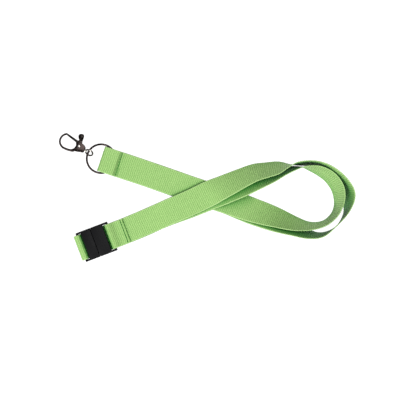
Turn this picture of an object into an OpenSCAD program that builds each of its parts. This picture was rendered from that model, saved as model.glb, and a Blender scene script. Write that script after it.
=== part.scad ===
// Neck lanyard lying flat: woven strap crossed over once, breakaway buckle, split ring, trigger clasp.
// Millimetres. Z is up, the strap lies on the plane Z = 0, X runs from clasp and buckle to the neck loop.

/* [Strap] */
// Width of the woven strap
strap_w = 20; // [12:1:25]
// Thickness of one layer of the woven strap
strap_t = 0.9; // [0.6:0.1:1.4]

/* [Ring] */
// Radius of the ring, to the middle of its wire
ring_r = 11.1; // [10.8:0.1:14]
// Diameter of the ring wire
ring_wire = 1.6; // [1.2:0.1:2.2]

/* [Clasp] */
// Radius of the inside of the hook
hook_inner_r = 4.8; // [4:0.1:6]
// Width of the hook arm, seen from above
hook_wall = 1.8; // [1.2:0.1:2.4]
// Thickness of the clasp body, top to bottom
clasp_t = 4.2; // [3.6:0.1:5]
// Diameter of the pin the trigger turns on
pin_d = 1.6; // [1.2:0.1:2]
// Diameter of the swivel post
post_d = 2; // [1.6:0.1:2.4]

/* [Buckle] */
// Length of the closed buckle, bar to bar
buckle_len = 26; // [22:1:32]
// Width of the buckle across its side rails
buckle_w = 23.6; // [22:0.2:28]
// Height of the buckle block
buckle_h = 4.6; // [4:0.2:6]

/* [Display] */
// Which piece to draw

/* [Hidden] */

web_green = [0.5, 0.78, 0.4];
thread_green = [0.35, 0.58, 0.28];
metal = [0.35, 0.34, 0.36];
black = [0.06, 0.06, 0.07];

// the object is centred on X and Y, with its underside at Z = 0
centring = [0.1, -0.3, 0];
low = strap_t/2;                  // middle of the layer on the floor
high = low + strap_t + 0.05;      // middle of the layer above it

// ring and clasp places
ring_at = [-81.1, 30.4, 2.3];
leg_dir = -18.6;
pocket_at = [-67.15, 25.8];
clasp_dir = 153;
eye_x = 10.3;
eye_dz = 0.6;
eye_r = 2.95;
eye_wire = 1.3;
eye_lean = 42;
neck_x = 14.1;
pin_at = [19.6, -0.65];
bow_x = 29.3;
slot_t = 2;
lever_t = 1.4;
head_x = neck_x + 2;               // head of the post, inside the clasp body
head_t = 0.7;
head_d = post_d + 0.8;
room_x = neck_x + 1.8;             // room the head turns in
room_l = 1.3;
gate_end = [31.25, -4.85];

// buckle places
buckle_at = [-84.5, -33.8];
buckle_dir = 20.8;
buckle_z = 2.1;
part_x = -1;
block = [-10.6, 8.6];
bar_l = 1.7;
bar_h = 1.9;
slide_gap = 0.3;
rail_t = 1.6;
rail_h = 2.6;
block_inset = 0.8;                // the block is this much narrower than the rails on each side
prong_l = 6.2;                    // reach of the outer prongs into the socket
prong_w = 3.2;
prong_h = 1.8;
prong_y = 6;
tongue_l = 4;                     // reach of the middle tongue
tongue_w = 4.4;
root = 2;                         // how far prongs start back inside the plug
prong_z = buckle_z + 1.4;

// strap routes: x, y, height of the middle, roll of the strap in degrees
inner_route = [[-66.5, 25.7, high, 0], [-45, 18.5, high, 0], [-22, 10.5, high, 0], [-1.5, 3.5, 1.5, 0],
    [16.5, -2.5, 2.15, 4], [35, -9, 4.1, 17], [52.5, -14.5, 6.4, 36], [67.5, -19.5, 8.7, 55],
    [79.5, -21.5, 9.8, 72], [90.5, -19.5, 10.1, 80], [98, -13.5, 10, 80], [101.5, -6.5, 9.9, 76],
    [102.3, 1, 9.7, 69], [100.5, 8.5, 9.5, 65], [95.5, 15.5, 9.5, 65], [89, 20, 9.7, 69],
    [82, 22.6, 9.9, 77], [74, 23.78, 10.2, 91], [62, 21.4, 9.8, 108], [50, 17, 8.6, 124],
    [38, 13, 7.1, 138], [27, 9, 5.6, 149], [15, 5, 4, 162], [2, 0.3, 2.55, 180],
    [-12, -5.2, 2.45, 180], [-26, -10.2, 2.35, 180], [-37, -14.5, 1.3, 180], [-48, -19.5, 0.52, 180],
    [-60, -24.5, low, 180], [-70, -28.3, low, 180], [-81.7, -32.8, low, 180]];
outer_route = [[-66.5, 25.7, low, 0], [-45, 18.5, low, 0], [-22, 10.5, low, 0], [-1.5, 3.5, 0.52, 0],
    [16.5, -2.5, 1, 3], [35, -10.5, 3.1, 15], [52.5, -17.5, 5.9, 32], [66, -22.8, 8.3, 50],
    [78, -27.5, 9.6, 68], [88.8, -28.2, 10.1, 82], [99.5, -22.1, 10.2, 95], [106.6, -12.9, 10.2, 88],
    [109.2, -4, 10.2, 74], [109.4, 4, 11.2, 69], [104.6, 11.9, 12.6, 68], [97.8, 18.6, 13.2, 70],
    [90.2, 23.7, 12.7, 75], [81, 26.5, 11.6, 80], [71, 26.3, 10.7, 83.5], [64, 24.9, 10.05, 96],
    [56, 23.4, 9.2, 119], [47, 21.6, 8.6, 127], [37.5, 19.5, 8, 134], [28, 15.5, 7.1, 140],
    [18.5, 11, 6.3, 149], [9, 6.5, 5.35, 160], [0, 2.2, 3.9, 178], [-12, -3.6, 3.5, 180],
    [-26, -9.6, 3.3, 180], [-37, -14.5, 2.3, 180], [-48, -19.3, 1.48, 180], [-63.5, -25.8, high, 180]];

// folds seen from the side: distance along the strap, height
pocket_side = [[0.2, low], [-6, low], [-12.4, low], [-13.9, 0.9], [-14.6, 2.2], [-13.9, 3.5], [-12.4, 3.95],
    [-8, 3.95], [-3.6, 3.95], [-2.3, 3.3], [-1.5, 2.2], [-0.7, 1.5], [0.2, high]];
socket_side = [[22.1, high], [17, high], [12, high], [10.7, 1.8], [9.9, 2.8], [10, 4], [10.9, 4.8],
    [12.4, 4.9], [14.2, 4.2], [16.5, 3], [19, 2.45], [21.5, 2.37], [24.4, 2.37]];
plug_side = [[2.9, low], [-6, low], [-12.6, low], [-14.4, 0.9], [-15.1, 2.4], [-14.6, 4], [-13.2, 4.75],
    [-11.6, 4.75], [-10.5, 4.1], [-10.3, 3], [-9.9, 2], [-8.8, high], [-7, high], [-3, high], [3.4, high]];

// point at t between b and c on a smooth curve through a, b, c, d
function smooth(a, b, c, d, t) =
    (2*b + (c - a)*t + (2*a - 5*b + 4*c - d)*t*t + (3*b - a - 3*c + d)*t*t*t)/2;
function fine(p, n) = [for (i = [0:len(p) - 2], j = [0:n - 1])
    smooth(p[max(i - 1, 0)], p[i], p[i + 1], p[min(i + 2, len(p) - 1)], j/n), p[len(p) - 1]];
function unit(v) = v/norm(v);
function tangent(p, i) = unit(p[min(i + 1, len(p) - 1)] - p[max(i - 1, 0)]);
function xyz(q) = [for (s = q) [s[0], s[1], s[2]]];

// four corners of the strap at one station
function corners(at, t, roll) =
    let (n = unit([t[1], -t[0], 0]), u = cross(n, t),
        w = (cos(roll)*n + sin(roll)*u)*strap_w/2,
        f = (cos(roll)*u - sin(roll)*n)*strap_t/2)
    [at - w - f, at + w - f, at + w + f, at - w + f];

module made_of(tint) {
    color(tint) translate(centring) children();
}

// strap laid along a route
module strap(route, n) {
    q = fine(route, n);
    p = xyz(q);
    last = len(q) - 1;
    points = [for (i = [0:last]) each corners(p[i], tangent(p, i), q[i][3])];
    sides = [for (i = [0:last - 1], k = [0:3]) let (a = 4*i + k, b = 4*i + (k + 1)%4)
        each [[a, b, b + 4], [a, b + 4, a + 4]]];
    polyhedron(points, concat([[3, 2, 1, 0]], sides, [[4*last, 4*last + 1, 4*last + 2, 4*last + 3]]));
}

// strap fold drawn from the side and given the strap's width
module fold(side, n) {
    p = fine(side, n);
    off = [for (i = [0:len(p) - 1]) let (t = tangent(p, i)) [-t[1], t[0]]*strap_t/2];
    outline = concat([for (i = [0:len(p) - 1]) p[i] + off[i]],
        [for (i = [len(p) - 1:-1:0]) p[i] - off[i]]);
    rotate([90, 0, 0]) linear_extrude(strap_w, center = true) polygon(outline);
}

// row of short stitches across the strap
module stitches(count, z) {
    pitch = (strap_w - 1.6)/count;
    for (i = [0:count - 1])
        translate([0, (i + 0.5 - count/2)*pitch, z]) cube([0.5, pitch*0.68, 0.2], center = true);
}

module at_pocket() {
    translate([pocket_at[0], pocket_at[1], 0]) rotate(leg_dir) children();
}
module at_clasp() {
    translate([ring_at[0], ring_at[1], ring_at[2] + eye_dz]) rotate(clasp_dir) children();
}
module at_buckle() {
    translate([buckle_at[0], buckle_at[1], 0]) rotate(buckle_dir) children();
}

module inner_strap() {
    made_of(web_green) strap(inner_route, 5);
}
module outer_strap() {
    made_of(web_green) strap(outer_route, 5);
}
module ring_pocket() {
    made_of(web_green) at_pocket() fold(pocket_side, 4);
}
module ring_stitches() {
    made_of(thread_green) at_pocket() translate([-0.1, 0, 0]) stitches(14, 2.06);
}
module socket_loop() {
    made_of(web_green) at_buckle() fold(socket_side, 4);
}
module socket_stitches() {
    made_of(thread_green) at_buckle() translate([22.6, 0, 0]) stitches(14, 2.95);
}
module plug_loop() {
    made_of(web_green) at_buckle() fold(plug_side, 4);
}
module plug_stitches() {
    made_of(thread_green) at_buckle() translate([1.6, 0, 0]) stitches(14, high + strap_t/2 + 0.12);
}

module split_ring() {
    made_of(metal) translate(ring_at)
        rotate_extrude($fn = 96) translate([ring_r, 0]) circle(d = ring_wire, $fn = 32);
}

// small loop round the ring wire with a headed post that turns in the clasp
module swivel_eye() {
    made_of(metal) at_clasp() {
        translate([eye_x, 0, 0]) rotate([90 + eye_lean, 0, 0])
            rotate_extrude($fn = 64) translate([eye_r, 0]) circle(d = eye_wire, $fn = 24);
        translate([neck_x - 1.05, 0, 0]) rotate([0, 90, 0])
            cylinder(d = post_d, h = head_x - neck_x + 1.05, $fn = 32);
        translate([head_x, 0, 0]) rotate([0, 90, 0]) cylinder(d = head_d, h = head_t, $fn = 32);
    }
}

// outline of the clasp body seen from above
module body_outline() {
    polygon([[neck_x, -2], [14.8, -2.5], [16, -3.2], [17.4, -3.7], [19, -3.95], [21.6, -3.85], [22.4, -3.2],
        [21.8, -1.5], [21.7, 0.5], [22.2, 2.4], [23.4, 3.6], [24.8, 4.3], [24.8, 5.6], [23, 5.3], [20.6, 4.1],
        [18.6, 3.5], [17.2, 2.9], [15.2, 2.5], [neck_x, 2.1]]);
}

// arm of the hook, a flattened bar bent round the bow
module hook_arm() {
    outer_r = hook_inner_r + hook_wall;
    lap = 0.3;
    translate([0, 0, -1]) linear_extrude(2) polygon([[21.5, 3.9], [25.5, 4.7], [bow_x + lap, hook_inner_r],
        [bow_x + lap, outer_r - 0.02], [25.5, 6.2], [21.5, 5]]);
    // thin lip that the end of the gate sits under
    translate([bow_x, 0, 0]) rotate(-66) rotate_extrude(angle = 21, $fn = 96)
        polygon([[hook_inner_r + 0.2, 0.2], [outer_r - 0.2, 0.2], [outer_r - 0.3, 1],
            [hook_inner_r + 0.3, 1]]);
    translate([bow_x, 0, 0]) rotate(-47) rotate_extrude(angle = 137, $fn = 96)
        polygon([[hook_inner_r, -0.6], [hook_inner_r + 0.35, -1], [hook_inner_r + hook_wall - 0.4, -1],
            [hook_inner_r + hook_wall, -0.5], [hook_inner_r + hook_wall, 0.5],
            [hook_inner_r + hook_wall - 0.4, 1], [hook_inner_r + 0.35, 1], [hook_inner_r, 0.6]]);
}

module hook_body() {
    made_of(metal) at_clasp() difference() {
        union() {
            linear_extrude(clasp_t, center = true)
                offset(r = 0.4, $fn = 24) offset(delta = -0.4) body_outline();
            hook_arm();
        }
        // slot for the trigger, open to the side and the front
        translate([16.9, -6, -slot_t/2]) cube([5, 8, slot_t]);
        translate([21, -6, -slot_t/2]) cube([3, 7.4, slot_t]);
        // bore for the post and room for its head, opened from below
        translate([neck_x - 1, 0, 0]) rotate([0, 90, 0]) cylinder(d = post_d + 0.1, h = 4, $fn = 32);
        translate([room_x, -1.6, -clasp_t]) cube([room_l, 3.2, clasp_t + 1.6]);
        translate([pin_at[0], pin_at[1], -clasp_t]) cylinder(d = pin_d + 0.04, h = 2*clasp_t, $fn = 32);
    }
}

module lever_pin() {
    made_of(metal) at_clasp() translate([pin_at[0], pin_at[1], 0]) {
        cylinder(d = pin_d, h = clasp_t + 0.1, center = true, $fn = 32);
        translate([0, 0, clasp_t/2 + 0.02]) cylinder(d = pin_d + 0.7, h = 0.25, $fn = 32);
    }
}

// gate arm, hub and thumb tab in one piece, before the step at the gate end
module lever_shape() {
    linear_extrude(lever_t, center = true) difference() {
        union() {
            translate(pin_at) circle(r = 1.9, $fn = 48);
            hull() {
                translate([22.3, -3.3]) circle(r = 1, $fn = 24);
                translate(gate_end) circle(r = 0.8, $fn = 24);
            }
            polygon([[17.8, -1.3], [20.4, 1], [23.2, -2.7], [22, -4.2], [20.9, -6.2],
                [18.8, -5.6], [18.2, -4]]);
        }
        translate(pin_at) circle(d = pin_d + 0.1, $fn = 48);
    }
    hull() {
        translate([20, -5.6, 0]) cylinder(r = 1.2, h = lever_t, center = true, $fn = 24);
        translate([21.5, -8.2, 0]) cylinder(r = 2, h = 2.8, center = true, $fn = 24);
    }
}

module trigger_lever() {
    made_of(metal) at_clasp() difference() {
        lever_shape();
        // step under the lip of the hook tip
        translate([30.4, -7, -0.15]) cube([4, 4, 2]);
    }
}

// one side of the buckle block with softened top edges
module half_block(x0, x1) {
    w = buckle_w - 2*block_inset;
    hull() {
        translate([x0, -w/2, buckle_z]) cube([x1 - x0, w, buckle_h - 0.9]);
        translate([x0 + 0.3, -w/2 + 1, buckle_z]) cube([x1 - x0 - 0.6, w - 2, buckle_h]);
    }
}

// rail along each side and the bar the strap folds over
module rails_and_bar(x0, x1, bar_x) {
    for (s = [-1, 1]) translate([x0, s*(buckle_w - rail_t)/2 - rail_t/2, buckle_z])
        cube([x1 - x0, rail_t, rail_h]);
    translate([bar_x, -buckle_w/2 + 0.6, buckle_z]) cube([bar_l, buckle_w - 1.2, bar_h]);
}

module prongs(grow) {
    z = prong_z - grow;
    for (side = [-1, 1]) translate([part_x - root, side*prong_y - prong_w/2 - grow, z])
        cube([root + prong_l + grow, prong_w + 2*grow, prong_h + 2*grow]);
    translate([part_x - root, -tongue_w/2 - grow, z])
        cube([root + tongue_l + grow, tongue_w + 2*grow, prong_h + 2*grow]);
}

module buckle_socket() {
    made_of(black) at_buckle() difference() {
        union() {
            half_block(part_x, block[1]);
            rails_and_bar(part_x, buckle_len/2, buckle_len/2 - bar_l);
        }
        prongs(slide_gap);
    }
}

module buckle_plug() {
    made_of(black) at_buckle() {
        half_block(block[0] + 1.6, part_x - slide_gap);
        rails_and_bar(-buckle_len/2, part_x - slide_gap, -buckle_len/2);
        prongs(0);
    }
}

inner_strap();
outer_strap();
ring_pocket();
ring_stitches();
split_ring();
swivel_eye();
hook_body();
trigger_lever();
lever_pin();
socket_loop();
socket_stitches();
buckle_socket();
buckle_plug();
plug_loop();
plug_stitches();
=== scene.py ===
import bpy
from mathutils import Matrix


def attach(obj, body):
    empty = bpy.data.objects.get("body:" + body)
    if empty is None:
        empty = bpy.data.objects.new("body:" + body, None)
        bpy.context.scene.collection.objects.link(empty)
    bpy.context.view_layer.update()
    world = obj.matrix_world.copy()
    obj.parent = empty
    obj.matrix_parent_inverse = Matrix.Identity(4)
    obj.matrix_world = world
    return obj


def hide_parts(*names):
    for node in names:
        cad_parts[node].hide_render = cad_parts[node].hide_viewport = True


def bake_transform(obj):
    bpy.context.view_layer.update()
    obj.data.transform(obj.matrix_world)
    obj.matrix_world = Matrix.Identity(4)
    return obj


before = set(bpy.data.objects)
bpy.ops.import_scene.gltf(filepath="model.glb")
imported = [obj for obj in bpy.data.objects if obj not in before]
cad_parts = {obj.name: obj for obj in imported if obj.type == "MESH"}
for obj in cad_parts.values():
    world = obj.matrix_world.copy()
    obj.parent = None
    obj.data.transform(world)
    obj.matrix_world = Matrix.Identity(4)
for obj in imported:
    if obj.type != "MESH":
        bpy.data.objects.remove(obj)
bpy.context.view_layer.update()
import math
import random
import bmesh
import bpy
import numpy as np
from mathutils import Matrix, Vector

toMetres = 0.001
random.seed(7)

# places of the pieces in millimetres, the same as the solid model's
shift = np.array([0.1, -0.3, 0.0])  # brings the middle of the whole lanyard to the frame's origin
low, high = 0.45, 1.4  # middle heights of the lower and the upper layer of strap
ringSpot = np.array([-81.1, 30.4, 2.3])
pocketSpot = np.array([-67.15, 25.8, 0.0])
buckleSpot = np.array([-84.5, -33.8, 0.0])
claspTurn, legTurn, buckleTurn = math.radians(153), math.radians(-18.6), math.radians(20.8)
stepsPerPoint = 24  # smooth steps from one route point to the next
tailFrom = 24  # route point of the inner layer where the plug's end of the strap begins

# routes of the strap's two layers: x, y, z, and its roll in degrees
innerRoute = [(-66.5, 25.7, high, 0), (-45, 18.5, high, 0), (-22, 10.5, high, 0), (-1.5, 3.5, 1.5, 0),
              (16.5, -2.5, 2.15, 4), (35, -9, 4.1, 17), (52.5, -14.5, 6.4, 36), (67.5, -19.5, 8.7, 55),
              (79.5, -21.5, 9.8, 72), (90.5, -19.5, 10.1, 80), (98, -13.5, 10, 80), (101.5, -6.5, 9.9, 76),
              (102.3, 1, 9.7, 69), (100.5, 8.5, 9.5, 65), (95.5, 15.5, 9.5, 65), (89, 20, 9.7, 69),
              (82, 22.6, 9.9, 77), (74, 23.78, 10.2, 91), (62, 21.4, 9.8, 108), (50, 17, 8.6, 124),
              (38, 13, 7.1, 138), (27, 9, 5.6, 149), (15, 5, 4, 162), (2, 0.3, 2.55, 180),
              (-12, -5.2, 2.45, 180), (-26, -10.2, 2.35, 180), (-37, -14.5, 1.3, 180),
              (-48, -19.5, 0.52, 180), (-60, -24.5, low, 180), (-70, -28.3, low, 180),
              (-81.7, -32.8, low, 180)]
outerRoute = [(-66.5, 25.7, low, 0), (-45, 18.5, low, 0), (-22, 10.5, low, 0), (-1.5, 3.5, 0.52, 0),
              (16.5, -2.5, 1, 3), (35, -10.5, 3.1, 15), (52.5, -17.5, 5.9, 32), (66, -22.8, 8.3, 50),
              (78, -27.5, 9.6, 68), (88.8, -28.2, 10.1, 82), (99.5, -22.1, 10.2, 95),
              (106.6, -12.9, 10.2, 88), (109.2, -4, 10.2, 74), (109.4, 4, 11.2, 69),
              (104.6, 11.9, 12.6, 68), (97.8, 18.6, 13.2, 70), (90.2, 23.7, 12.7, 75),
              (81, 26.5, 11.6, 80), (71, 26.3, 10.7, 83.5), (64, 24.9, 10.05, 96),
              (56, 23.4, 9.2, 119), (47, 21.6, 8.6, 127), (37.5, 19.5, 8, 134), (28, 15.5, 7.1, 140),
              (18.5, 11, 6.3, 149), (9, 6.5, 5.35, 160), (0, 2.2, 3.9, 178), (-12, -3.6, 3.5, 180),
              (-26, -9.6, 3.3, 180), (-37, -14.5, 2.3, 180), (-48, -19.3, 1.48, 180),
              (-63.5, -25.8, high, 180)]
# folds at the ring and the buckle, seen from the side: distance along the strap, and height
pocketSide = [(0.2, low), (-6, low), (-12.4, low), (-13.9, 0.9), (-14.6, 2.2), (-13.9, 3.5), (-12.4, 3.95),
              (-8, 3.95), (-3.6, 3.95), (-2.3, 3.3), (-1.5, 2.2), (-0.7, 1.5), (0.2, high)]
socketSide = [(22.1, high), (17, high), (12, high), (10.7, 1.8), (9.9, 2.8), (10, 4), (10.9, 4.8),
              (12.4, 4.9), (14.2, 4.2), (16.5, 3), (19, 2.45), (21.5, 2.37), (24.4, 2.37)]
plugSide = [(2.9, low), (-6, low), (-12.6, low), (-14.4, 0.9), (-15.1, 2.4), (-14.6, 4), (-13.2, 4.75),
            (-11.6, 4.75), (-10.5, 4.1), (-10.3, 3), (-9.9, 2), (-8.8, high), (-7, high), (-3, high),
            (3.4, high)]


# points of a piece's own plane, turned about Z and moved to its place
def turned(points, angle, spot):
    p = np.asarray(points, float)
    c, s = math.cos(angle), math.sin(angle)
    return p @ np.array([[c, s, 0], [-s, c, 0], [0, 0, 1]]) + spot + shift


# smooth curve through every point
def smoothThrough(points, n=stepsPerPoint):
    p = np.asarray(points, float)
    out = []
    for i in range(len(p) - 1):
        a, b, c, d = p[max(i - 1, 0)], p[i], p[i + 1], p[min(i + 2, len(p) - 1)]
        t = np.arange(n)[:, None] / n
        out.append((2 * b + (c - a) * t + (2 * a - 5 * b + 4 * c - d) * t**2
                    + (3 * b - a - 3 * c + d) * t**3) / 2)
    return np.vstack(out + [p[-1:]])


def unitRows(v):
    return v / np.linalg.norm(v, axis=1)[:, None]


# middle line and width direction of the strap on a route
def alongRoute(route):
    q = smoothThrough(route)
    centre, roll = q[:, :3], np.radians(q[:, 3])[:, None]
    t = unitRows(np.gradient(centre, axis=0))
    n = unitRows(np.c_[t[:, 1], -t[:, 0], 0 * t[:, 0]])
    return centre + shift, np.cos(roll) * n + np.sin(roll) * np.cross(n, t)


# the same for a fold drawn from the side
def alongFold(side, angle, spot):
    q = smoothThrough(side)
    centre = turned(np.c_[q[:, 0], 0 * q[:, 0], q[:, 1]], angle, spot)
    width = np.array([math.sin(angle), -math.cos(angle), 0])
    return centre, np.tile(width, (len(centre), 1))


# the strap in millimetres; places across it run from 0 in the middle to 1 at the edge
strap = {"width": 20.0, "thick": 0.84,
         "rib": 1.5, "relief": 0.1,  # spacing and height of the ribs across it
         "ribBend": 0.5, "ribBends": 9,  # how far the ribs waver, and how often
         "bead": (0.935, 0.03), "groove": (0.86, 0.02), "beadHeight": 0.05, "roundFrom": 0.975,
         "sway": 0.05, "swayEvery": 9.0,  # slight unevenness of its width
         "seamWidth": 0.28, "seamDepth": 0.18,  # how a seam pulls it in
         "step": 0.34, "across": 30, "crowd": 0.35,  # mesh: step along, strips across, crowding at the edges
         "easeLine": 0.3, "easeTurn": 1.2}  # distances over which kinks and twists are eased


# one strap line at even steps, its joins eased
def evenly(centre, width):
    step = strap["step"]
    gaps = np.linalg.norm(np.diff(centre, axis=0), axis=1)
    keep = np.r_[True, gaps > 1e-4]  # drops doubled points where two routes meet
    centre, width = centre[keep], width[keep]
    s = np.r_[0, np.cumsum(np.linalg.norm(np.diff(centre, axis=0), axis=1))]
    at = np.linspace(0, s[-1], int(s[-1] / step) + 1)
    c = np.c_[[np.interp(at, s, centre[:, k]) for k in range(3)]].T
    w = np.c_[[np.interp(at, s, width[:, k]) for k in range(3)]].T

    def eased(v, mm):
        k = max(int(3 * mm / step), 1)
        g = np.exp(-0.5 * (np.arange(-k, k + 1) * step / mm) ** 2)
        padded = np.vstack([np.repeat(v[:1], k, 0), v, np.repeat(v[-1:], k, 0)])
        line = np.c_[[np.convolve(padded[:, j], g / g.sum(), "valid") for j in range(3)]].T
        line[0], line[-1] = v[0], v[-1]
        return line

    c, w = eased(c, strap["easeLine"]), eased(w, strap["easeTurn"])
    t = unitRows(np.gradient(c, axis=0))
    w = unitRows(w - t * (w * t).sum(1)[:, None])
    return c, w, at


def smoothShaded(mesh):
    mesh.polygons.foreach_set("use_smooth", [True] * len(mesh.polygons))


def linked(name, mesh):
    obj = bpy.data.objects.new(name, mesh)
    bpy.context.collection.objects.link(obj)
    return obj


def makeMesh(name, points, faces, uv=None):
    mesh = bpy.data.meshes.new(name)
    mesh.from_pydata(np.asarray(points).tolist(), [], faces)
    if uv is not None:
        layer = mesh.uv_layers.new(name="strapUv")
        layer.data.foreach_set("uv", np.asarray(uv, np.float32).ravel())
    mesh.validate()
    mesh.update()
    smoothShaded(mesh)
    return linked(name, mesh)


def hump(x, middle, spread):
    return np.exp(-((x - middle) / spread) ** 2)


# height of one face of the strap above its middle, and the places across it
def strapFace(at, sign, pull):
    even = np.linspace(-1, 1, strap["across"] + 1)
    v = np.sin(even * math.pi / 2) * strap["crowd"] + even * (1 - strap["crowd"])
    toEdge = np.abs(v)
    past = np.clip((toEdge - strap["roundFrom"]) / (1 - strap["roundFrom"]), 0, 1)
    edge = np.sqrt(np.clip(1 - past ** 2, 0.0, 1))
    bead = (hump(toEdge, *strap["bead"]) - hump(toEdge, *strap["groove"])) * strap["beadHeight"]
    waver = strap["ribBend"] * np.sin(strap["ribBends"] * v)[None, :] * sign
    rib = strap["relief"] * np.cos(2 * math.pi * at[:, None] / strap["rib"] + waver)
    level = strap["thick"] / 2 - strap["relief"]
    return (level + rib + bead[None, :] - strap["seamDepth"] * pull[:, None]) * edge[None, :], v


# woven strap: ribs across it, a rolled selvedge on both edges, a pulled-in line at each seam
def makeStrap(name, centre, width, seamSpots=()):
    c, w, at = evenly(centre, width)
    face = np.cross(w, unitRows(np.gradient(c, axis=0)))
    knots = np.arange(0, at[-1] + strap["swayEvery"], strap["swayEvery"])
    sway = np.random.RandomState(3).uniform(-strap["sway"], strap["sway"], len(knots))
    wobble = np.interp(at, knots, sway)
    pull = np.zeros(len(at))
    for spot in seamSpots:
        where = at[np.argmin(np.linalg.norm(c - spot, axis=1))]
        pull += hump(at, where, strap["seamWidth"])
    sides, n = [], len(at)
    for sign in (1, -1):
        lift, v = strapFace(at, sign, pull)
        across = v[None, :] * (strap["width"] / 2 + wobble[:, None] * np.abs(v)[None, :])
        p = c[:, None, :] + w[:, None, :] * across[..., None] + sign * face[:, None, :] * lift[..., None]
        sides.append(p[:, ::sign, :])
    skin = np.concatenate([sides[0], sides[1][:, 1:-1, :]], axis=1)  # both faces, edge points once
    m = skin.shape[1]
    i, j = np.meshgrid(np.arange(n - 1), np.arange(m), indexing="ij")
    a, b = i * m + j, i * m + (j + 1) % m
    quads = np.stack([a, b, b + m, a + m], -1).reshape(-1, 4)
    vOfSkin = np.r_[v, v[::-1][1:-1]]
    uv = np.stack([vOfSkin[quads % m], at[quads // m] / strap["width"]], -1).reshape(-1, 2)
    caps = [list(range(m))[::-1], list(range((n - 1) * m, n * m))]
    uv = np.vstack([uv, np.zeros((2 * m, 2))])
    obj = makeMesh(name, skin.reshape(-1, 3) * toMetres, quads.tolist() + caps, uv)
    bm = bmesh.new()
    bm.from_mesh(obj.data)
    bmesh.ops.recalc_face_normals(bm, faces=bm.faces)
    bm.to_mesh(obj.data)
    bm.free()
    return obj, at[-1]


# materials
def newMaterial(name, **fixed):
    mat = bpy.data.materials.new(name)
    mat.use_nodes = True
    bsdf = mat.node_tree.nodes["Principled BSDF"]
    for key, value in fixed.items():
        bsdf.inputs[key.replace("_", " ")].default_value = value
    return mat, mat.node_tree.nodes, mat.node_tree.links, bsdf


def maths(tree, kind, a, b=None, c=None):
    node = tree.nodes.new("ShaderNodeMath")
    node.operation = kind
    for slot, value in enumerate((a, b, c)):
        if value is None:
            continue
        if isinstance(value, (int, float)):
            node.inputs[slot].default_value = value
        else:
            tree.links.new(value, node.inputs[slot])
    return node.outputs[0]


# the weave of the strap; the three shares say what makes a spot light or dark
weaveLook = {"threadsAcross": 21.0, "threadsAlong": 40.0, "threadShare": 0.55, "fuzzShare": 0.35,
             "ribShare": 0.2, "fuzzScale": 1400, "fuzzDetail": 3, "edgeFrom": 0.9, "edgeSharpness": 18}


# woven strap: thread grid and ribs from the strap's own coordinates, as a height, a shade and an edge mask
def weaveGroup():
    g = bpy.data.node_groups.new("weave", "ShaderNodeTree")
    for label in ("Threads across", "Threads along"):
        g.interface.new_socket(label, in_out="INPUT", socket_type="NodeSocketFloat")
    for label in ("Height", "Shade", "Edge"):
        g.interface.new_socket(label, in_out="OUTPUT", socket_type="NodeSocketFloat")
    gi, go = g.nodes.new("NodeGroupInput"), g.nodes.new("NodeGroupOutput")
    uv = g.nodes.new("ShaderNodeUVMap")
    uv.uv_map = "strapUv"
    split = g.nodes.new("ShaderNodeSeparateXYZ")
    g.links.new(uv.outputs[0], split.inputs[0])
    across, along = split.outputs[0], split.outputs[1]
    u = maths(g, "MULTIPLY", across, gi.outputs["Threads across"])
    v = maths(g, "MULTIPLY", along, gi.outputs["Threads along"])
    cell = maths(g, "MODULO", maths(g, "ADD", maths(g, "FLOOR", u), maths(g, "FLOOR", v)), 2)
    waveU = maths(g, "ABSOLUTE", maths(g, "SINE", maths(g, "MULTIPLY", u, math.pi)))
    waveV = maths(g, "ABSOLUTE", maths(g, "SINE", maths(g, "MULTIPLY", v, math.pi)))
    over = maths(g, "MULTIPLY", waveU, maths(g, "POWER", waveV, 0.5))
    under = maths(g, "MULTIPLY", waveV, maths(g, "POWER", waveU, 0.5))
    which = maths(g, "ABSOLUTE", cell)
    threads = maths(g, "ADD", maths(g, "MULTIPLY", over, which),
                    maths(g, "MULTIPLY", under, maths(g, "SUBTRACT", 1, which)))
    g.links.new(threads, go.inputs["Height"])
    waver = maths(g, "MULTIPLY", maths(g, "SINE", maths(g, "MULTIPLY", across, strap["ribBends"])),
                  strap["ribBend"])
    ribTurns = 2 * math.pi * strap["width"] / strap["rib"]
    ribs = maths(g, "COSINE", maths(g, "MULTIPLY_ADD", along, ribTurns, waver))
    noise, coord = g.nodes.new("ShaderNodeTexNoise"), g.nodes.new("ShaderNodeTexCoord")
    noise.inputs["Scale"].default_value = weaveLook["fuzzScale"]
    noise.inputs["Detail"].default_value = weaveLook["fuzzDetail"]
    g.links.new(coord.outputs["Object"], noise.inputs["Vector"])
    fuzz = maths(g, "MULTIPLY_ADD", noise.outputs["Fac"], weaveLook["fuzzShare"],
                 maths(g, "MULTIPLY", ribs, weaveLook["ribShare"]))
    shade = maths(g, "ADD", maths(g, "MULTIPLY", threads, weaveLook["threadShare"]), fuzz)
    g.links.new(shade, go.inputs["Shade"])
    rim = maths(g, "SUBTRACT", maths(g, "ABSOLUTE", across), weaveLook["edgeFrom"])
    rim = maths(g, "MAXIMUM", maths(g, "MULTIPLY", rim, weaveLook["edgeSharpness"]), 0)
    g.links.new(maths(g, "MINIMUM", rim, 1), go.inputs["Edge"])
    return g


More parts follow.
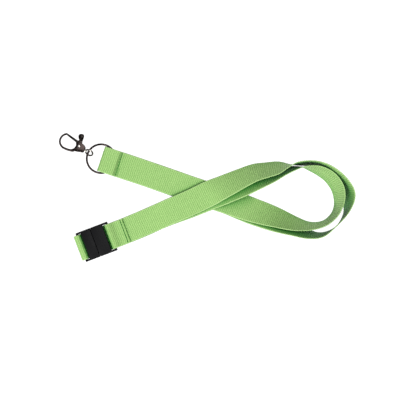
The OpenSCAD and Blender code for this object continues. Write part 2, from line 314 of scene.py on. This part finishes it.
# fine unevenness for thread, metal and plastic, as a roughness value and a height
def wearGroup():
    g = bpy.data.node_groups.new("surfaceWear", "ShaderNodeTree")
    for label in ("Scale", "Low", "High"):
        g.interface.new_socket(label, in_out="INPUT", socket_type="NodeSocketFloat")
    for label in ("Roughness", "Height"):
        g.interface.new_socket(label, in_out="OUTPUT", socket_type="NodeSocketFloat")
    gi, go = g.nodes.new("NodeGroupInput"), g.nodes.new("NodeGroupOutput")
    coord, noise = g.nodes.new("ShaderNodeTexCoord"), g.nodes.new("ShaderNodeTexNoise")
    g.links.new(coord.outputs["Object"], noise.inputs["Vector"])
    g.links.new(gi.outputs["Scale"], noise.inputs["Scale"])
    noise.inputs["Detail"].default_value = grainDetail
    spread = maths(g, "SUBTRACT", gi.outputs["High"], gi.outputs["Low"])
    roughness = maths(g, "MULTIPLY_ADD", noise.outputs["Fac"], spread, gi.outputs["Low"])
    g.links.new(roughness, go.inputs["Roughness"])
    g.links.new(noise.outputs["Fac"], go.inputs["Height"])
    return g


grainHeight, grainDetail = 0.0001, 5
weave, wear = weaveGroup(), wearGroup()


def addGroup(nodes, tree, **values):
    node = nodes.new("ShaderNodeGroup")
    node.node_tree = tree
    for key, value in values.items():
        node.inputs[key.replace("_", " ")].default_value = value
    return node


# two colours mixed by a factor
def mixed(nodes, links, factor, first, second):
    node = nodes.new("ShaderNodeMix")
    node.data_type = "RGBA"
    links.new(factor, node.inputs[0])
    for slot, colour in ((6, first), (7, second)):
        if isinstance(colour, tuple):
            node.inputs[slot].default_value = (*colour, 1)
        else:
            links.new(colour, node.inputs[slot])
    return node.outputs[2]


def addBump(nodes, links, bsdf, height, strength, distance):
    bump = nodes.new("ShaderNodeBump")
    bump.inputs["Strength"].default_value, bump.inputs["Distance"].default_value = strength, distance
    links.new(height, bump.inputs["Height"])
    links.new(bump.outputs[0], bsdf.inputs["Normal"])


# the green of the webbing, deeper between its threads, with painted shade that turns it deep green in
# crevices and between the strap's layers
webbingLook = {"deep": (0.13, 0.28, 0.065), "light": (0.3, 0.46, 0.165), "edge": (0.31, 0.47, 0.18),
               "deepAt": 0.12, "lightAt": 0.75, "paintedCreviceShade": (0.005, 0.16, 0.008),
               "paintedCreviceShadeReach": 0.012, "paintedCreviceShadeFall": 1.6, "paintedCreviceShadeSamples": 8,
               "roughness": 0.65, "gloss": 0.2, "sheen": 0.06, "sheenRoughness": 0.5,
               "bump": 0.5, "threadHeight": 0.00012}


def wovenMaterial(name, look):
    mat, nodes, links, bsdf = newMaterial(name, Roughness=look["roughness"], Sheen_Weight=look["sheen"],
                                          Sheen_Roughness=look["sheenRoughness"],
                                          Specular_IOR_Level=look["gloss"])
    cloth = addGroup(nodes, weave, Threads_across=weaveLook["threadsAcross"],
                     Threads_along=weaveLook["threadsAlong"])
    ramp = nodes.new("ShaderNodeValToRGB")
    for stop, key in zip(ramp.color_ramp.elements, ("deep", "light")):
        stop.color, stop.position = (*look[key], 1), look[key + "At"]
    links.new(cloth.outputs["Shade"], ramp.inputs[0])
    green = mixed(nodes, links, cloth.outputs["Edge"], ramp.outputs[0], look["edge"])
    # painted shade: an ambient occlusion node mixes the green towards a deep saturated green where other
    # surfaces are near, in crevices and between the layers
    paintedCreviceShade = nodes.new("ShaderNodeAmbientOcclusion")
    paintedCreviceShade.samples, paintedCreviceShade.inputs["Distance"].default_value = look["paintedCreviceShadeSamples"], look["paintedCreviceShadeReach"]
    openness = maths(mat.node_tree, "POWER", paintedCreviceShade.outputs["AO"], look["paintedCreviceShadeFall"])
    links.new(mixed(nodes, links, openness, look["paintedCreviceShade"], green), bsdf.inputs["Base Color"])
    addBump(nodes, links, bsdf, cloth.outputs["Height"], look["bump"], look["threadHeight"])
    return mat


def plainMaterial(name, colour, metallic, roughness, grain, bump, gloss=0.5):
    mat, nodes, links, bsdf = newMaterial(name, Base_Color=(*colour, 1), Metallic=metallic,
                                          Specular_IOR_Level=gloss)
    surface = addGroup(nodes, wear, Scale=grain, Low=roughness[0], High=roughness[1])
    links.new(surface.outputs["Roughness"], bsdf.inputs["Roughness"])
    addBump(nodes, links, bsdf, surface.outputs["Height"], bump, grainHeight)
    return mat


webbing = wovenMaterial("webbing", webbingLook)

# colour, metallic, roughness from and to, grain, how strongly it shows, and gloss where it isn't plain
finishes = {
    "thread": ((0.015, 0.12, 0.01), 0.0, (0.7, 0.95), 2500.0, 0.4),
    "seamThread": ((0.2, 0.5, 0.11), 0.0, (0.7, 0.95), 2500.0, 0.4),
    "darkNickel": ((0.02, 0.015, 0.014), 1.0, (0.14, 0.3), 1200.0, 0.08),
    "blackNickel": ((0.014, 0.012, 0.011), 1.0, (0.2, 0.35), 1200.0, 0.08),
    "midNickel": ((0.2, 0.19, 0.18), 1.0, (0.16, 0.3), 1200.0, 0.06),
    "brightNickel": ((0.2, 0.19, 0.17), 1.0, (0.14, 0.28), 1200.0, 0.06),
    "blackPlastic": ((0.004, 0.004, 0.0045), 0.0, (0.4, 0.55), 700.0, 0.12, 0.06)}
finish = {name: plainMaterial(name, *look) for name, look in finishes.items()}
print("materials ready")


def finishPiece(obj, mat, body, slot, *nodes):
    obj.data.materials.clear()
    obj.data.materials.append(mat)
    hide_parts(*nodes)
    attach(obj, body)


# woven strap: one length, made as an outer run, an inner run, and the plug's end that runs round the plug
# its seams: place along the piece, height of the strap there, height and size of the stitches
seams = {
    "ringSeam": {"spot": pocketSpot, "turn": legTurn, "x": -0.25, "strapZ": 1.45, "z": 1.97,
                 "size": (0.55, 0.5)},
    "socketSeam": {"spot": buckleSpot, "turn": buckleTurn, "x": 22.6, "strapZ": 2.37, "z": 2.8,
                   "size": (0.5, 0.4)},
    "plugSeam": {"spot": buckleSpot, "turn": buckleTurn, "x": 1.6, "z": 1.88, "size": (0.42, 0.3)}}


def joined(*parts):
    return np.vstack([p[0] for p in parts]), np.vstack([p[1] for p in parts])


def seamSpot(name):
    seam = seams[name]
    return turned([[seam["x"], 0, seam["strapZ"]]], seam["turn"], seam["spot"])[0]


outerLine, innerLine = alongRoute(outerRoute), alongRoute(innerRoute)
pocketLine = alongFold(pocketSide, legTurn, pocketSpot)
socketLine = alongFold(socketSide, buckleTurn, buckleSpot)
plugLine = alongFold(plugSide, buckleTurn, buckleSpot)
cut = tailFrom * stepsPerPoint
innerPart, tailPart = [a[:cut + 1] for a in innerLine], [a[cut:] for a in innerLine]

outer, outerLength = makeStrap("strapOuter", *joined(outerLine, socketLine), [seamSpot("socketSeam")])
inner, innerLength = makeStrap("strapInner", *joined(pocketLine, innerPart), [seamSpot("ringSeam")])
tail, tailLength = makeStrap("strapPlug", *joined(tailPart, plugLine))
finishPiece(outer, webbing, "strap", "webbing", "outer_strap", "socket_loop")
finishPiece(inner, webbing, "strap", "webbing", "inner_strap", "ring_pocket")
tail.data.materials.append(webbing)
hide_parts("plug_loop")
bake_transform(tail)
print("strap lengths, mm:", round(outerLength), round(innerLength), round(tailLength))

# stitches: a row is this wide, a stitch fills most of its pitch, and none lies quite straight
stitches = {"count": 12, "rowWidth": 18.6, "fill": 0.86, "wander": 0.05, "twist": 0.06, "mesh": (12, 8)}


# row of thread stitches across the strap, each a short bead sunk into the weave
def makeStitches(name):
    seam, bm = seams[name], bmesh.new()
    pitch = stitches["rowWidth"] / stitches["count"]
    for i in range(stitches["count"]):
        x = seam["x"] + random.uniform(-stitches["wander"], stitches["wander"])
        y = (i + 0.5 - stitches["count"] / 2) * pitch
        centre = turned([[x, y, seam["z"]]], seam["turn"], seam["spot"])[0] * toMetres
        bead = bmesh.ops.create_uvsphere(bm, u_segments=stitches["mesh"][0], v_segments=stitches["mesh"][1],
                                         radius=0.5 * toMetres)
        scale = Matrix.Diagonal((seam["size"][0], pitch * stitches["fill"], seam["size"][1], 1))
        twist = random.uniform(-stitches["twist"], stitches["twist"])
        turn = Matrix.Rotation(seam["turn"] + twist, 4, "Z")
        bmesh.ops.transform(bm, matrix=Matrix.Translation(centre) @ turn @ scale, verts=bead["verts"])
    mesh = bpy.data.meshes.new(name)
    bm.to_mesh(mesh)
    bm.free()
    smoothShaded(mesh)
    return linked(name, mesh)


finishPiece(makeStitches("ringSeam"), finish["thread"], "strap", "thread", "ring_stitches")
finishPiece(makeStitches("socketSeam"), finish["thread"], "strap", "thread", "socket_stitches")
finishPiece(makeStitches("plugSeam"), finish["seamThread"], "plug", "thread", "plug_stitches")
print("stitches made")


# a section (offset across, offset up) carried along a flat path
def sweep(path, section, closed=False):
    path, n = np.asarray(path, float), len(path)
    if closed:
        t = unitRows(np.roll(path, -1, 0) - np.roll(path, 1, 0))
    else:
        t = unitRows(np.gradient(path, axis=0))
    side = np.c_[t[:, 1], -t[:, 0], 0 * t[:, 0]]
    up = np.cross(side, t)
    section = np.asarray(section, float)
    if section.ndim == 2:
        section = np.repeat(section[None], n, 0)
    points = path[:, None, :] + side[:, None, :] * section[..., :1] + up[:, None, :] * section[..., 1:]
    m = section.shape[1]
    faces = []
    for i in range(n if closed else n - 1):
        for j in range(m):
            a, b = i * m + j, i * m + (j + 1) % m
            c, d = ((i + 1) % n) * m + (j + 1) % m, ((i + 1) % n) * m + j
            faces.append((a, b, c, d))
    if not closed:
        faces += [tuple(range(m))[::-1], tuple(range((n - 1) * m, n * m))]
    return points.reshape(-1, 3), faces


# round section; a square above 2 makes it boxier
def roundSection(rx, rz, square=2.0, count=20):
    a = np.linspace(0, 2 * math.pi, count, endpoint=False)
    c, s = np.cos(a), np.sin(a)
    return np.c_[rx * np.sign(c) * np.abs(c) ** (2 / square), rz * np.sign(s) * np.abs(s) ** (2 / square)]


def arc(x, r, a0, a1, count, z=0.0):
    a = np.radians(np.linspace(a0, a1, count))
    return np.c_[x + r * np.cos(a), r * np.sin(a), z + 0 * a]


def circle(x, r, count):
    return arc(x, r, 0, 360 * (count - 1) / count, count)


# ring: one closed wire, sizes to the middle of the wire and as its half thickness
ring = {"radius": 11.1, "wire": 0.8, "steps": 160}
ringSection = roundSection(ring["wire"], ring["wire"])
ringWire, ringFaces = sweep(circle(0, ring["radius"], ring["steps"]), ringSection, closed=True)
ringObj = makeMesh("splitRing", (ringWire + ringSpot + shift) * toMetres, ringFaces)
finishPiece(ringObj, finish["darkNickel"], "ring", "ring_metal", "split_ring")


# an outline given thickness, its edges rounded
def prism(outline, z0, z1, bevel):
    bm = bmesh.new()
    lowFace = bm.faces.new([bm.verts.new((x, y, z0)) for x, y in outline])
    made = bmesh.ops.extrude_face_region(bm, geom=[lowFace])
    top = [v for v in made["geom"] if isinstance(v, bmesh.types.BMVert)]
    bmesh.ops.translate(bm, verts=top, vec=(0, 0, z1 - z0))
    bmesh.ops.recalc_face_normals(bm, faces=bm.faces)
    bmesh.ops.bevel(bm, geom=list(bm.edges), offset=bevel, segments=3, affect="EDGES", profile=0.5,
                    clamp_overlap=True)
    return bm


def addPoints(bm, points, faces):
    verts = [bm.verts.new(p) for p in points]
    for f in faces:
        bm.faces.new([verts[k] for k in f])


# round part from a profile of distance along its axis, and radius
def lathe(bm, profile, axis="x", count=28, at=(0, 0, 0)):
    points, faces = [], []
    for s, r in profile:
        for k in range(count):
            t = 2 * math.pi * k / count
            a, b = r * math.cos(t), r * math.sin(t)
            points.append(tuple(np.add((s, a, b) if axis == "x" else (a, b, s), at)))
    for i in range(len(profile) - 1):
        for k in range(count):
            a, b = i * count + k, i * count + (k + 1) % count
            faces.append((a, b, b + count, a + count))
    faces += [tuple(range(count))[::-1], tuple(range((len(profile) - 1) * count, len(profile) * count))]
    addPoints(bm, points, faces)


def merge(bm, other):
    mesh = bpy.data.meshes.new("part")
    other.to_mesh(mesh)
    bm.from_mesh(mesh)
    bpy.data.meshes.remove(mesh)
    other.free()


sharpFrom = math.radians(35)  # edges keener than this stay crisp


# the finished mesh, turned and moved from its own place in millimetres to the shared frame in metres
def placed(bm, name, angle, spot):
    bmesh.ops.recalc_face_normals(bm, faces=bm.faces)
    move = Matrix.Translation(Vector(spot + shift)) @ Matrix.Rotation(angle, 4, "Z")
    bmesh.ops.transform(bm, matrix=Matrix.Scale(toMetres, 4) @ move, verts=bm.verts)
    mesh = bpy.data.meshes.new(name)
    bm.to_mesh(mesh)
    bm.free()
    smoothShaded(mesh)
    mesh.set_sharp_from_angle(angle=sharpFrom)
    return linked(name, mesh)


# swivel eye: leaning loop round the ring wire, and its post; the clasp's own X runs along the post
eye = {"lift": 0.6, "lean": 42, "x": 10.3, "radius": 2.95, "wire": 0.66, "steps": 72,
       "post": [(13.0, 1.0), (13.6, 1.0), (15.6, 1.0)]}
claspSpot = ringSpot + np.array([0, 0, eye["lift"]])
bm = bmesh.new()
eyeSection = roundSection(eye["wire"], eye["wire"])
loop, loopFaces = sweep(circle(0, eye["radius"], eye["steps"]), eyeSection, closed=True)
tilt = np.array(Matrix.Rotation(math.pi / 2 + math.radians(eye["lean"]), 3, "X"))
addPoints(bm, [tuple(tilt @ p + [eye["x"], 0, 0]) for p in loop], loopFaces)
lathe(bm, eye["post"])
finishPiece(placed(bm, "swivelEye", claspTurn, claspSpot), finish["brightNickel"], "eye", "bright_metal",
            "swivel_eye")

# clasp body: two cheeks with the trigger between them, a solid neck, a collar, and the hook arm and lip
clasp = {
    "body": [(14.7, -2.3), (15.4, -2.9), (16.4, -3.4), (17.6, -3.75), (19, -3.95), (21.4, -3.85),
             (22.3, -3.2), (21.8, -1.5), (21.7, 0.5), (22.2, 2.4), (23.3, 3.6), (24.6, 4.35), (24.6, 5.5),
             (23, 5.2), (20.6, 4.1), (18.6, 3.6), (17.2, 2.95), (15.6, 2.6), (14.7, 2.3)],
    "neck": [(14.4, -2.15), (15.4, -2.8), (16.9, -3.3), (16.9, 2.8), (15.6, 2.5), (14.4, 2.2)],
    "front": [(18.6, 2.3), (21.9, 2.3), (23.2, 3.6), (24.5, 4.3), (24.5, 5.4), (23, 5.1), (20.6, 4.05),
              (18.6, 3.5)],
    "collar": [(14.1, 1.4), (14.15, 1.8), (14.4, 2.05), (14.9, 2.1), (15.2, 2.0), (15.4, 1.5)],
    "cheek": (1.05, 2.1), "neckHalf": 1.9, "frontHalf": 1.3,
    "cheekBevel": 0.28, "neckBevel": 0.25, "frontBevel": 0.2,
    "hookX": 29.3, "hookRadius": 5.7, "armStart": [[21.6, 4.1, 0], [23.6, 4.85, 0], [26.2, 5.45, 0]],
    "armEnds": (90, -47), "armSize": (0.88, 1.0), "armBoxy": 2.4, "armTip": 0.8,
    "armTaper": (1.15, 0.95, 0.82), "taperAt": 20,  # size at its root, at this step, and at its tip
    "lipEnds": (-42, -66), "lipLift": 0.6, "lipSize": (0.8, 0.4), "lipBoxy": 2.8,
    "arcPoints": 14, "armSmooth": 6}


# the hook arm, thinner along its length and rounded off at its tip
def hookArm():
    bow = arc(clasp["hookX"], clasp["hookRadius"], *clasp["armEnds"], clasp["arcPoints"]).tolist()
    path = smoothThrough(clasp["armStart"] + bow, clasp["armSmooth"])
    step, n = np.arange(len(path)), len(path)
    left = np.clip(np.linalg.norm(path - path[-1], axis=1) / clasp["armTip"], 0, 1)
    tip = np.where(step > n / 2, np.sqrt(np.clip(1 - (1 - left) ** 2, 0.1, 1)), 1)
    size = tip * np.interp(step, [0, clasp["taperAt"], n], clasp["armTaper"])
    rx, rz = clasp["armSize"]
    return sweep(path, np.stack([roundSection(rx * f, rz * f, clasp["armBoxy"]) for f in size]))


bm = prism(clasp["body"], *clasp["cheek"], clasp["cheekBevel"])
merge(bm, prism(clasp["body"], -clasp["cheek"][1], -clasp["cheek"][0], clasp["cheekBevel"]))
merge(bm, prism(clasp["neck"], -clasp["neckHalf"], clasp["neckHalf"], clasp["neckBevel"]))
merge(bm, prism(clasp["front"], -clasp["frontHalf"], clasp["frontHalf"], clasp["frontBevel"]))
lathe(bm, clasp["collar"])
addPoints(bm, *hookArm())
lip = arc(clasp["hookX"], clasp["hookRadius"], *clasp["lipEnds"], clasp["arcPoints"], clasp["lipLift"])
addPoints(bm, *sweep(lip, roundSection(*clasp["lipSize"], clasp["lipBoxy"])))
finishPiece(placed(bm, "hookBody", claspTurn, claspSpot), finish["darkNickel"], "clasp", "clasp_metal",
            "hook_body")

# pin through both cheeks, with a peened head on top
pin = {"at": (19.6, -0.65, 0), "steps": 32,
       "profile": [(-2.2, 0.5), (-2.15, 0.8), (2.12, 0.8), (2.14, 1.1), (2.22, 1.1), (2.3, 0.8), (2.34, 0.3)]}
bm = bmesh.new()
lathe(bm, pin["profile"], "z", pin["steps"], pin["at"])
finishPiece(placed(bm, "leverPin", claspTurn, claspSpot), finish["midNickel"], "clasp", "bright_metal",
            "lever_pin")

# trigger: hub, gate arm with a stepped end, and thumb tab
trigger = {
    "hub": [(17.9, -1.4), (18.0, 0.1), (19.0, 1.15), (20.3, 1.1), (21.4, 0.2), (23.1, -2.6), (22.1, -4.2),
            (21.1, -6), (18.9, -5.6), (18.3, -4)],
    "gate": [(21.4, -2.6), (22.6, -2.4), (30.0, -3.8), (30.0, -5.45), (22.3, -4.4), (21.2, -4.5)],
    "gateEnd": [(29.6, -3.75), (31.2, -4.0), (31.9, -4.35), (32.05, -4.95), (31.7, -5.5), (31, -5.6),
                (29.6, -5.4)],
    "tabPath": [(19.8, -5.0), (20.1, -5.8), (20.6, -6.6), (21.0, -7.5), (21.4, -8.4), (21.7, -9.2),
                (21.95, -9.85), (22.1, -10.2)],
    "tabSize": [(1.1, 0.7), (1.4, 0.85), (1.8, 1.1), (2.1, 1.3), (2.25, 1.4), (2.15, 1.35), (1.7, 1.05),
                (0.8, 0.5)],
    "tabBoxy": 2.6, "hubHalf": 0.7, "gateHalf": 0.85, "gateEndTop": -0.1,
    "hubBevel": 0.18, "gateBevel": 0.3, "gateEndBevel": 0.2}
bm = prism(trigger["hub"], -trigger["hubHalf"], trigger["hubHalf"], trigger["hubBevel"])
merge(bm, prism(trigger["gate"], -trigger["gateHalf"], trigger["gateHalf"], trigger["gateBevel"]))
merge(bm, prism(trigger["gateEnd"], -trigger["gateHalf"], trigger["gateEndTop"], trigger["gateEndBevel"]))
tab = np.stack([roundSection(*size, trigger["tabBoxy"]) for size in trigger["tabSize"]])
addPoints(bm, *sweep([(x, y, 0) for x, y in trigger["tabPath"]], tab))
finishPiece(placed(bm, "triggerLever", claspTurn, claspSpot), finish["blackNickel"], "trigger",
            "clasp_metal", "trigger_lever")
print("clasp and ring made")

# buckle: each half is a raised block with a rail down both sides and a bar that the strap goes round
buckle = {"half": 11.8, "rail": 1.6, "z0": 2.1, "top": 6.6, "railTop": 4.7, "barTop": 4.0,
          "barWidth": 1.7, "barInset": 0.6, "blockInset": 0.8, "bevel": 0.3}
socketHalf = {"block": (-1, 8.6), "rails": (-1, 13), "barAt": 11.3}
plugHalf = {"block": (-9.0, -1.3), "rails": (-13, -1.3), "barAt": -13}
prongs = {"from": -3, "sideTo": 5.2, "middleTo": 3, "spacing": 6, "half": 1.6, "z": (3.5, 5.3)}


def slab(x0, x1, y0, y1, z0, z1):
    return prism([(x0, y0), (x1, y0), (x1, y1), (x0, y1)], z0, z1, buckle["bevel"])


def makeHalf(block, rails, barAt):
    z0, y1 = buckle["z0"], buckle["half"]
    y0 = y1 - buckle["rail"]
    inset, bar = y1 - buckle["blockInset"], y1 - buckle["barInset"]
    bm = slab(*block, -inset, inset, z0, buckle["top"])
    merge(bm, slab(*rails, -y1, -y0, z0, buckle["railTop"]))
    merge(bm, slab(*rails, y0, y1, z0, buckle["railTop"]))
    merge(bm, slab(barAt, barAt + buckle["barWidth"], -bar, bar, z0, buckle["barTop"]))
    return bm


socket = placed(makeHalf(**socketHalf), "buckleSocket", buckleTurn, buckleSpot)
finishPiece(socket, finish["blackPlastic"], "strap", "buckle", "buckle_socket")

bm = makeHalf(**plugHalf)
for side in (-1, 0, 1):
    y, reach = side * prongs["spacing"], prongs["sideTo"] if side else prongs["middleTo"]
    merge(bm, slab(prongs["from"], reach, y - prongs["half"], y + prongs["half"], *prongs["z"]))
plug = placed(bm, "bucklePlug", buckleTurn, buckleSpot)
finishPiece(plug, finish["blackPlastic"], "plug", "buckle", "buckle_plug")
print("buckle made")

# floor: white paper, slightly luminous so that it stays white
floorLook = {"size": 6, "z": -0.0002, "grey": 0.2, "roughness": 0.9, "gloss": 0.1, "glow": 0.98}
bpy.ops.mesh.primitive_plane_add(size=floorLook["size"], location=(0, 0, floorLook["z"]))
floor = bpy.context.object
floor.name = "floor"
grey = floorLook["grey"]
floorPaper = newMaterial("floorPaper", Base_Color=(grey, grey, grey, 1), Roughness=floorLook["roughness"],
                         Specular_IOR_Level=floorLook["gloss"], Emission_Strength=floorLook["glow"],
                         Emission_Color=(1, 1, 1, 1))[0]
floor.data.materials.append(floorPaper)

# light: a large soft lamp overhead, a smaller one from the front left, and a faint white surround
lamps = {"keyLight": {"spot": (-0.55, -0.95, 1.0), "size": 0.5, "power": 26},
         "topLight": {"spot": (0.2, 0.2, 1.3), "size": 0.9, "power": 15}}
lampsAimAt, surround = (0.02, 0, 0), 0.25


def addLamp(name, spot, size, power):
    light = bpy.data.lights.new(name, "AREA")
    light.shape, light.size, light.energy, light.color = "DISK", size, power, (1, 1, 1)
    obj = linked(name, light)
    obj.location = spot
    obj.rotation_euler = (Vector(lampsAimAt) - Vector(spot)).to_track_quat("-Z", "Y").to_euler()


for name, lamp in lamps.items():
    addLamp(name, **lamp)
world = bpy.data.worlds.new("studio")
bpy.context.scene.world = world
world.use_nodes = True
world.node_tree.nodes["Background"].inputs[0].default_value = (1, 1, 1, 1)
world.node_tree.nodes["Background"].inputs[1].default_value = surround
bpy.context.scene.view_settings.view_transform = "Standard"

# camera: straight above, seeing a square of this width
view = {"spot": (-0.00455, -0.00185, 0.95), "width": 0.31, "sensor": 36, "clipStart": 0.05}
camera = linked("camera", bpy.data.cameras.new("camera"))
camera.location = view["spot"]
camera.rotation_euler = (0, 0, 0)
camera.data.sensor_width = view["sensor"]
camera.data.lens = view["sensor"] * view["spot"][2] / view["width"]
camera.data.clip_start = view["clipStart"]
bpy.context.scene.camera = camera
print("floor, light and camera ready")

print("built")
